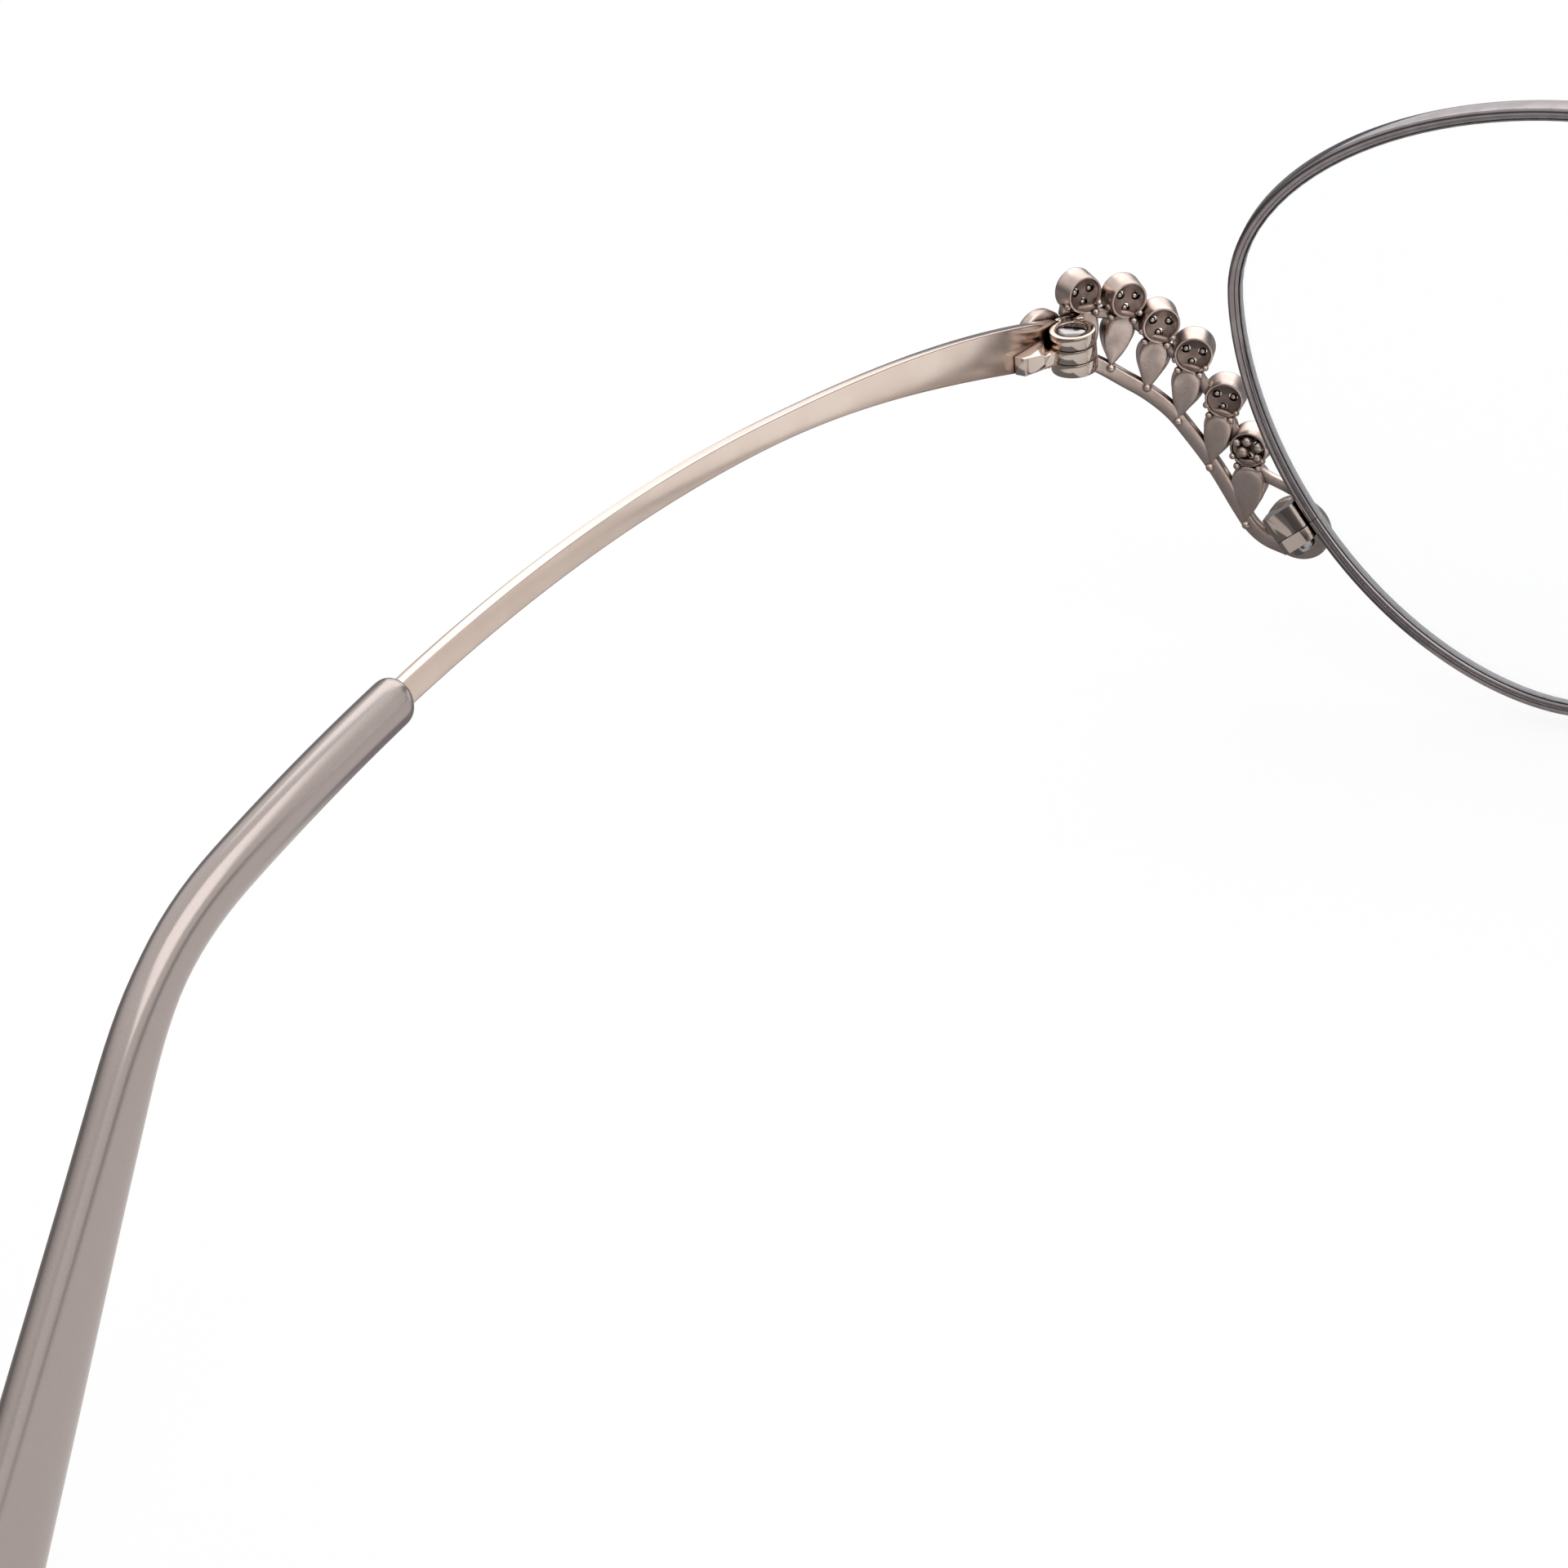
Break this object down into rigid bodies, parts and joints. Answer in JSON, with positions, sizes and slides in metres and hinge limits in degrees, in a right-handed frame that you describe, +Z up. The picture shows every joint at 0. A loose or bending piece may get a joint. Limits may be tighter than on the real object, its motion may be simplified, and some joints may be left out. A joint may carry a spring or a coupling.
{
  "type": "eyeglass frame",
  "caption": "Metal eyeglass frame with full oval eyewires, jewelled end pieces, screwed hinges, slim arched temples with moulded tips, and clear nose pads.",
  "frame": {"origin": "centre of the bounding box at the level of its lowest point, where the frame stands on its rims and temple tips", "axes": "+X to the wearer's left, +Y from the lenses back towards the temple tips, +Z up"},
  "size_m": [0.1496, 0.1362, 0.0444],
  "materials": {
    "rose_metal": "polished rose plating",
    "casting_metal": "satin rose plating",
    "eyewire_metal": "polished brown-rose plating",
    "screw_steel": "polished",
    "pearly_plastic": "pearly taupe gloss",
    "crystal": "cut and polished",
    "clear_lens": "clear",
    "clear_pad": "clear soft silicone"
  },
  "bodies": {
    "front": {"bridge": "rose_metal", "left_rim": "eyewire_metal", "right_rim": "eyewire_metal", "left_lens": "clear_lens", "right_lens": "clear_lens", "left_block_upper": "rose_metal", "right_block_upper": "rose_metal", "left_block_lower": "rose_metal", "right_block_lower": "rose_metal", "left_block_screw": "screw_steel", "right_block_screw": "screw_steel", "left_ornament": "casting_metal", "right_ornament": "casting_metal", "left_round_stone_1": "crystal", "left_round_stone_2": "crystal", "left_round_stone_3": "crystal", "left_round_stone_4": "crystal", "left_round_stone_5": "crystal", "left_round_stone_6": "crystal", "right_round_stone_1": "crystal", "right_round_stone_2": "crystal", "right_round_stone_3": "crystal", "right_round_stone_4": "crystal", "right_round_stone_5": "crystal", "right_round_stone_6": "crystal", "left_pear_stone_1": "crystal", "left_pear_stone_2": "crystal", "left_pear_stone_3": "crystal", "left_pear_stone_4": "crystal", "left_pear_stone_5": "crystal", "left_pear_stone_6": "crystal", "right_pear_stone_1": "crystal", "right_pear_stone_2": "crystal", "right_pear_stone_3": "crystal", "right_pear_stone_4": "crystal", "right_pear_stone_5": "crystal", "right_pear_stone_6": "crystal", "left_hinge_front": "rose_metal", "right_hinge_front": "rose_metal", "left_hinge_screw": "screw_steel", "right_hinge_screw": "screw_steel", "left_pad_arm": "rose_metal", "right_pad_arm": "rose_metal", "left_pad_box": "rose_metal", "right_pad_box": "rose_metal", "left_pad_screw": "screw_steel", "right_pad_screw": "screw_steel"},
    "left_temple": {"left_hinge_temple": "rose_metal", "left_temple_blade": "rose_metal", "left_temple_tip": "pearly_plastic"},
    "right_temple": {"right_hinge_temple": "rose_metal", "right_temple_blade": "rose_metal", "right_temple_tip": "pearly_plastic"},
    "left_pad": {"left_nose_pad": "clear_pad"},
    "right_pad": {"right_nose_pad": "clear_pad"}
  },
  "joints": [
    {"name": "left_temple_fold", "type": "hinge", "parent": "front", "child": "left_temple", "pos_m": [0.06865, -0.05433, 0.02656], "axis": [0, 0, 1], "range_deg": [0, 92.5]},
    {"name": "right_temple_fold", "type": "hinge", "parent": "front", "child": "right_temple", "pos_m": [-0.06865, -0.05433, 0.02656], "axis": [0, 0, -1], "range_deg": [0, 87.5]},
    {"name": "left_pad_rock", "type": "hinge", "parent": "front", "child": "left_pad", "pos_m": [0.01113, -0.05869, 0.01909], "axis": [0.545, 0.8384, 0], "range_deg": [-10, 10]},
    {"name": "right_pad_rock", "type": "hinge", "parent": "front", "child": "right_pad", "pos_m": [-0.01113, -0.05869, 0.01909], "axis": [-0.545, 0.8384, 0], "range_deg": [-10, 10]}
  ]
}
